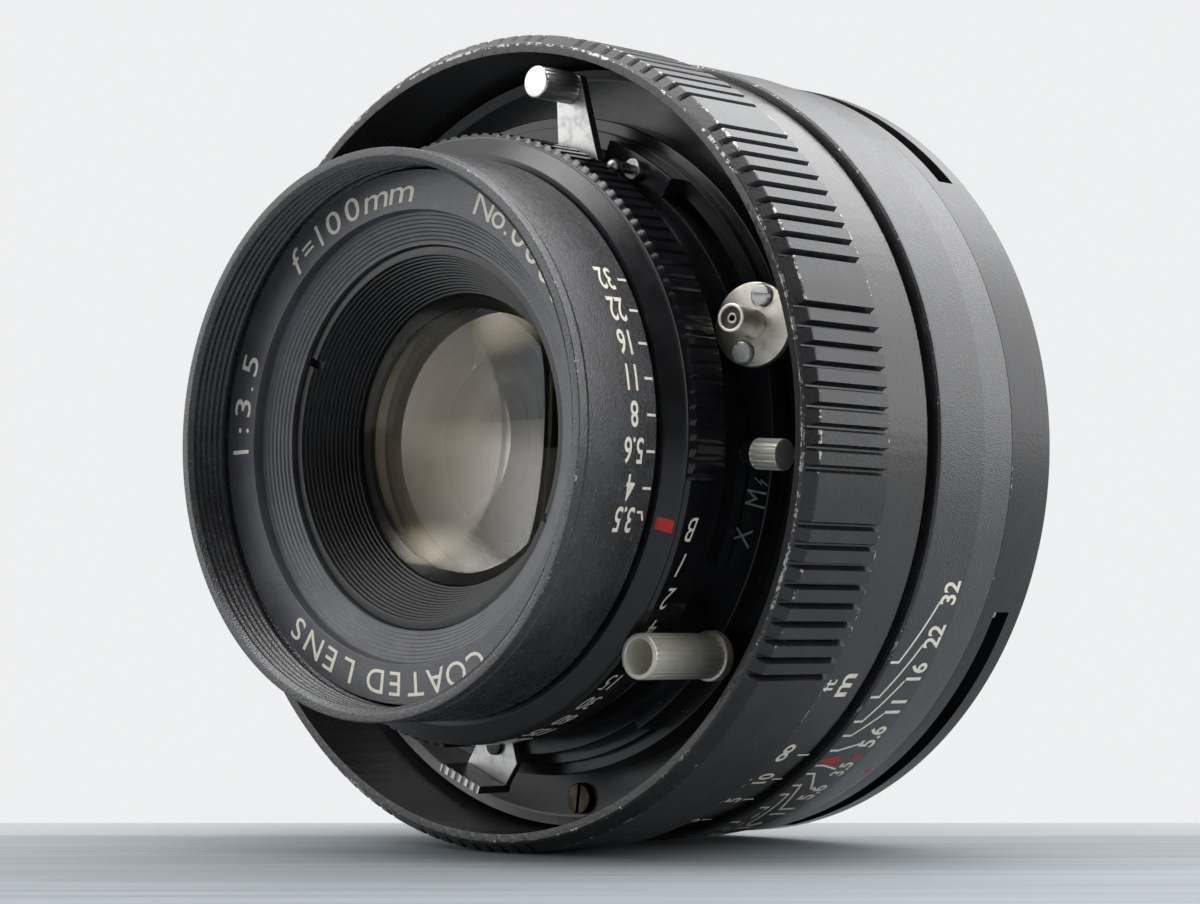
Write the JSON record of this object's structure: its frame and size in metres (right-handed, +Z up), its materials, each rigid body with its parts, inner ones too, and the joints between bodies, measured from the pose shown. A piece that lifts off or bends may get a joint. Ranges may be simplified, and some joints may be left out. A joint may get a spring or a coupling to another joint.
{
  "type": "leaf-shutter lens",
  "caption": "Medium-format lens with a cocked leaf shutter, iris, speed ring, levers and flash terminal, in a focusing helicoid with a breech-lock camera flange.",
  "frame": {"origin": "where the optical axis crosses the rear seating face of the camera flange", "axes": "+Y along the optical axis towards the camera (rear), light enters on the -Y side, +Z up, +X towards the flash terminal side"},
  "size_m": [0.0842, 0.0611, 0.0842],
  "materials": {
    "satin_black": "satin",
    "gloss_black": "gloss",
    "matt_black": "matt",
    "nickel": "worn satin",
    "steel": "machined",
    "brass": "machined",
    "blued_steel": "polished",
    "glass": "coated",
    "insulator": "matt"
  },
  "bodies": {
    "mount": {"fixed_barrel": "satin_black", "mount_flange": "satin_black", "mount_screws": "steel", "locating_pin": "steel", "guide_keys": "brass", "key_screws": "steel"},
    "focusing": {"focus_ring": "gloss_black", "focus_helicoid": "brass", "helicoid_lock_ring": "brass", "helicoid_retainer": "brass", "rangefinder_cam": "steel"},
    "carriage": {"carriage_helicoid": "matt_black", "front_plate": "matt_black", "plate_screws": "steel", "shutter_case": "matt_black", "case_nut": "brass", "shutter_cover": "gloss_black", "index_ring": "gloss_black", "speed_ring_clip": "steel", "name_ring": "satin_black", "front_baffle_ring": "matt_black", "front_cell": "matt_black", "front_element": "glass", "cell_spacer": "matt_black", "second_element": "glass", "second_retainer": "matt_black", "rear_cell": "matt_black", "rear_doublet_front": "glass", "rear_doublet_rear": "glass", "rear_retaining_ring": "matt_black", "rear_hood": "matt_black", "blade_plate": "steel", "cable_socket": "nickel", "stop_pin": "nickel", "terminal_plate": "nickel", "terminal_sleeve": "nickel", "terminal_insulator": "insulator", "terminal_contact": "steel", "terminal_screws": "nickel", "terminal_bracket": "matt_black"},
    "aperture": {"aperture_ring": "satin_black", "aperture_drive_pin": "steel", "iris_ring": "steel"},
    "speed": {"speed_ring": "gloss_black"},
    "cocking": {"cocking_lever": "steel", "cocking_knob": "nickel"},
    "release": {"release_lever": "steel"},
    "sync_switch": {"sync_lever": "brass", "sync_knob": "nickel"},
    "shutter_drive": {"blade_ring": "steel"},
    "shutter_blade_1_body": {"shutter_blade_1": "blued_steel"},
    "iris_blade_1_body": {"iris_blade_1": "blued_steel"},
    "shutter_blade_2_body": {"shutter_blade_2": "blued_steel"},
    "iris_blade_2_body": {"iris_blade_2": "blued_steel"},
    "shutter_blade_3_body": {"shutter_blade_3": "blued_steel"},
    "iris_blade_3_body": {"iris_blade_3": "blued_steel"},
    "shutter_blade_4_body": {"shutter_blade_4": "blued_steel"},
    "iris_blade_4_body": {"iris_blade_4": "blued_steel"},
    "shutter_blade_5_body": {"shutter_blade_5": "blued_steel"},
    "iris_blade_5_body": {"iris_blade_5": "blued_steel"}
  },
  "joints": [
    {"name": "focus_turn", "type": "hinge", "parent": "mount", "child": "focusing", "pos_m": [0, 0, 0], "axis": [0, -1, 0], "range_deg": [0, 66.67]},
    {"name": "focus_slide", "type": "slide", "parent": "mount", "child": "carriage", "axis": [0, -1, 0], "range_m": [0, 0.0112]},
    {"name": "aperture_turn", "type": "hinge", "parent": "carriage", "child": "aperture", "pos_m": [0, 0, 0], "axis": [0, 1, 0], "range_deg": [0, 47.5]},
    {"name": "speed_turn", "type": "hinge", "parent": "carriage", "child": "speed", "pos_m": [0, 0, 0], "axis": [0, -1, 0], "range_deg": [0, 68]},
    {"name": "cocking_turn", "type": "hinge", "parent": "carriage", "child": "cocking", "pos_m": [0, 0, 0], "axis": [0, -1, 0], "range_deg": [0, 55], "stiffness_Nm_per_rad": 0.02},
    {"name": "release_turn", "type": "hinge", "parent": "carriage", "child": "release", "pos_m": [-0.00301, -0.0361, -0.03125], "axis": [0, -1, 0], "range_deg": [0, 12], "stiffness_Nm_per_rad": 0.01},
    {"name": "sync_turn", "type": "hinge", "parent": "carriage", "child": "sync_switch", "pos_m": [0, 0, 0], "axis": [0, 1, 0], "range_deg": [0, 8]},
    {"name": "shutter_drive_turn", "type": "hinge", "parent": "carriage", "child": "shutter_drive", "pos_m": [0, 0, 0], "axis": [0, -1, 0], "range_deg": [0, 30], "stiffness_Nm_per_rad": 0.005},
    {"name": "shutter_blade_1_turn", "type": "hinge", "parent": "carriage", "child": "shutter_blade_1_body", "pos_m": [0.01907, -0.0293, 0.00405], "axis": [0, -1, 0], "range_deg": [0, 36.1]},
    {"name": "shutter_blade_2_turn", "type": "hinge", "parent": "carriage", "child": "shutter_blade_2_body", "pos_m": [0.00204, -0.02902, 0.01939], "axis": [0, -1, 0], "range_deg": [0, 36.1]},
    {"name": "shutter_blade_3_turn", "type": "hinge", "parent": "carriage", "child": "shutter_blade_3_body", "pos_m": [-0.01781, -0.02874, 0.00793], "axis": [0, -1, 0], "range_deg": [0, 36.1]},
    {"name": "shutter_blade_4_turn", "type": "hinge", "parent": "carriage", "child": "shutter_blade_4_body", "pos_m": [-0.01305, -0.02846, -0.01449], "axis": [0, -1, 0], "range_deg": [0, 36.1]},
    {"name": "shutter_blade_5_turn", "type": "hinge", "parent": "carriage", "child": "shutter_blade_5_body", "pos_m": [0.00975, -0.02818, -0.01689], "axis": [0, -1, 0], "range_deg": [0, 36.1]},
    {"name": "iris_blade_1_turn", "type": "hinge", "parent": "carriage", "child": "iris_blade_1_body", "pos_m": [0.01907, -0.032, 0.00405], "axis": [0, 1, 0], "range_deg": [0, 34.1]},
    {"name": "iris_blade_2_turn", "type": "hinge", "parent": "carriage", "child": "iris_blade_2_body", "pos_m": [0.00204, -0.03172, 0.01939], "axis": [0, 1, 0], "range_deg": [0, 34.1]},
    {"name": "iris_blade_3_turn", "type": "hinge", "parent": "carriage", "child": "iris_blade_3_body", "pos_m": [-0.01781, -0.03144, 0.00793], "axis": [0, 1, 0], "range_deg": [0, 34.1]},
    {"name": "iris_blade_4_turn", "type": "hinge", "parent": "carriage", "child": "iris_blade_4_body", "pos_m": [-0.01305, -0.03116, -0.01449], "axis": [0, 1, 0], "range_deg": [0, 34.1]},
    {"name": "iris_blade_5_turn", "type": "hinge", "parent": "carriage", "child": "iris_blade_5_body", "pos_m": [0.00975, -0.03088, -0.01689], "axis": [0, 1, 0], "range_deg": [0, 34.1]}
  ],
  "couplings": [
    {"joint": "focus_slide", "follows": "focus_turn", "m_per_rad": 0.0095493},
    {"joint": "shutter_blade_1_turn", "follows": "shutter_drive_turn", "ratio": 1.2},
    {"joint": "shutter_blade_2_turn", "follows": "shutter_drive_turn", "ratio": 1.2},
    {"joint": "shutter_blade_3_turn", "follows": "shutter_drive_turn", "ratio": 1.2},
    {"joint": "shutter_blade_4_turn", "follows": "shutter_drive_turn", "ratio": 1.2},
    {"joint": "shutter_blade_5_turn", "follows": "shutter_drive_turn", "ratio": 1.2},
    {"joint": "iris_blade_1_turn", "follows": "aperture_turn", "ratio": 0.71579},
    {"joint": "iris_blade_2_turn", "follows": "aperture_turn", "ratio": 0.71579},
    {"joint": "iris_blade_3_turn", "follows": "aperture_turn", "ratio": 0.71579},
    {"joint": "iris_blade_4_turn", "follows": "aperture_turn", "ratio": 0.71579},
    {"joint": "iris_blade_5_turn", "follows": "aperture_turn", "ratio": 0.71579}
  ]
}
